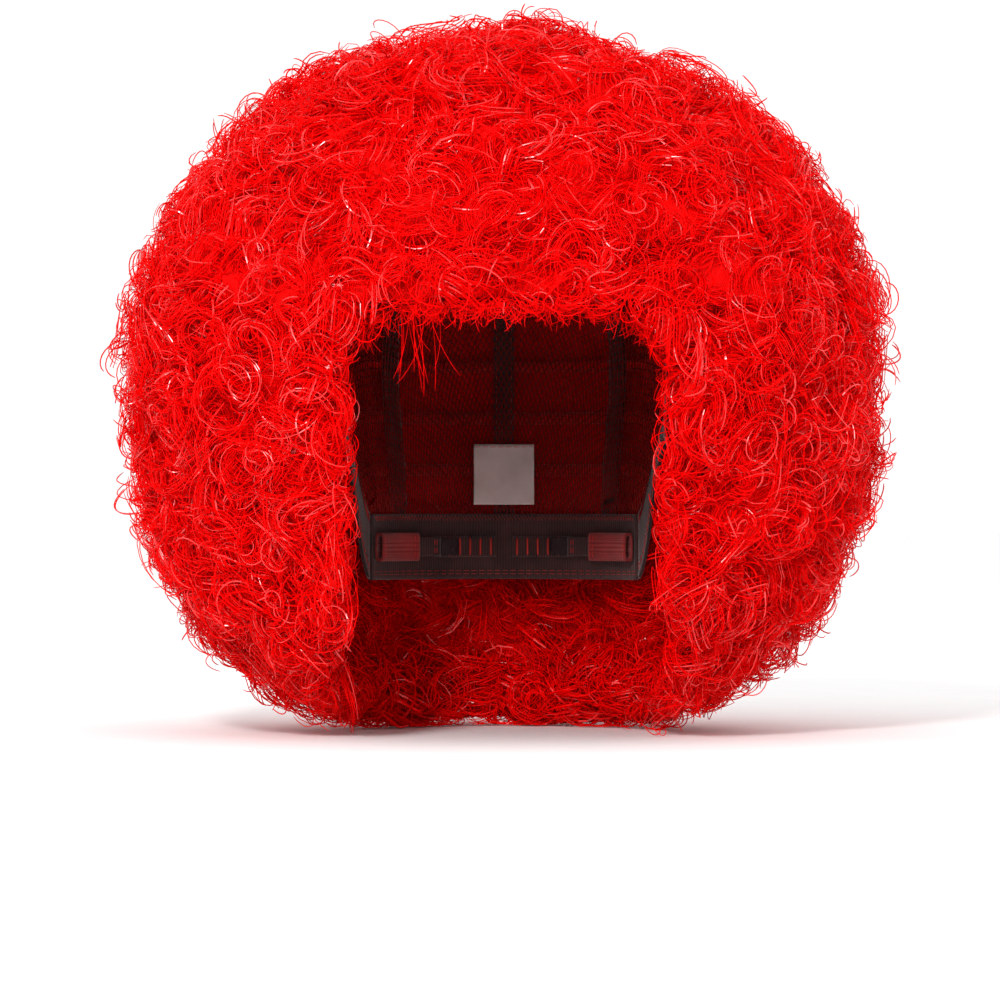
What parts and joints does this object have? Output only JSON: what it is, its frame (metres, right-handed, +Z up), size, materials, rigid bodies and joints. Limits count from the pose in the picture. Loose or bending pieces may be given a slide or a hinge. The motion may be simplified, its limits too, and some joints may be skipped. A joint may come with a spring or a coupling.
{
  "type": "costume wig",
  "caption": "Round curly clown wig: an afro of red synthetic ringlets in wefted rows on a stretch net cap, with ear tabs and hooked nape adjusters.",
  "frame": {"origin": "middle of the crown disc's underside, where the top of the wearer's head touches the cap", "axes": "+Z up, the face opening looks along -Y, and the wearer's left is +X"},
  "size_m": [0.3256, 0.2918, 0.2995],
  "materials": {
    "hair_fibre": "curled red synthetic fibre with a bright sheen",
    "cap_net": "open stretch net, matt",
    "elastic": "ribbed woven elastic, matt",
    "lining_cloth": "plain woven lining, matt",
    "weft_stitching": "stitched fibre heads, matt",
    "hook_plastic": "moulded, glossy",
    "label_satin": "satin ribbon, blank"
  },
  "bodies": {
    "cap": {"adjuster_ladder_left": "elastic", "adjuster_ladder_right": "elastic", "adjuster_sleeve_left": "lining_cloth", "adjuster_sleeve_right": "lining_cloth", "cap_ribbon_back": "elastic", "cap_ribbon_front": "elastic", "cap_ribbon_rear_left": "elastic", "cap_ribbon_rear_right": "elastic", "cap_ribbon_side_left": "elastic", "cap_ribbon_side_right": "elastic", "care_label": "label_satin", "crown_disc": "lining_cloth", "crown_net": "cap_net", "front_band": "lining_cloth", "hair_row_1_crown": "hair_fibre", "hair_row_2_back_left": "hair_fibre", "hair_row_2_back_right": "hair_fibre", "hair_row_2_front_left": "hair_fibre", "hair_row_2_front_right": "hair_fibre", "hair_row_2_side_left": "hair_fibre", "hair_row_2_side_right": "hair_fibre", "hair_row_3_back_left": "hair_fibre", "hair_row_3_back_right": "hair_fibre", "hair_row_3_front_left": "hair_fibre", "hair_row_3_front_right": "hair_fibre", "hair_row_3_side_left": "hair_fibre", "hair_row_3_side_right": "hair_fibre", "hair_row_4_back_left": "hair_fibre", "hair_row_4_back_right": "hair_fibre", "hair_row_4_side_left": "hair_fibre", "hair_row_4_side_right": "hair_fibre", "hair_row_5_back_left": "hair_fibre", "hair_row_5_back_right": "hair_fibre", "hair_row_5_side_left": "hair_fibre", "hair_row_5_side_right": "hair_fibre", "hair_row_6_back_left": "hair_fibre", "hair_row_6_back_right": "hair_fibre", "hair_row_6_side_left": "hair_fibre", "hair_row_6_side_right": "hair_fibre", "nape_band": "elastic", "side_binding_left": "elastic", "side_binding_right": "elastic", "weft_track_1": "weft_stitching", "weft_track_10": "weft_stitching", "weft_track_2": "weft_stitching", "weft_track_3": "weft_stitching", "weft_track_4": "weft_stitching", "weft_track_5": "weft_stitching", "weft_track_6": "weft_stitching", "weft_track_7": "weft_stitching", "weft_track_8": "weft_stitching", "weft_track_9": "weft_stitching"},
    "adjuster_left": {"adjuster_strap_left": "elastic", "adjuster_hook_left": "hook_plastic"},
    "ear_tab_left": {"ear_tab_left": "lining_cloth"},
    "adjuster_right": {"adjuster_strap_right": "elastic", "adjuster_hook_right": "hook_plastic"},
    "ear_tab_right": {"ear_tab_right": "lining_cloth"}
  },
  "joints": [
    {"name": "adjuster_left_travel", "type": "hinge", "parent": "cap", "child": "adjuster_left", "pos_m": [0, 0.014, -0.166], "axis": [0, 0, 1], "range_deg": [0, 16]},
    {"name": "ear_tab_left_flex", "type": "hinge", "parent": "cap", "child": "ear_tab_left", "pos_m": [0.07042, -0.04129, -0.0906], "axis": [0.3471, 0.9378, 0], "range_deg": [-6, 12], "stiffness_Nm_per_rad": 0.002},
    {"name": "adjuster_right_travel", "type": "hinge", "parent": "cap", "child": "adjuster_right", "pos_m": [0, 0.014, -0.166], "axis": [0, 0, -1], "range_deg": [0, 16]},
    {"name": "ear_tab_right_flex", "type": "hinge", "parent": "cap", "child": "ear_tab_right", "pos_m": [-0.07042, -0.04129, -0.0906], "axis": [0.3471, -0.9378, 0], "range_deg": [-6, 12], "stiffness_Nm_per_rad": 0.002}
  ]
}
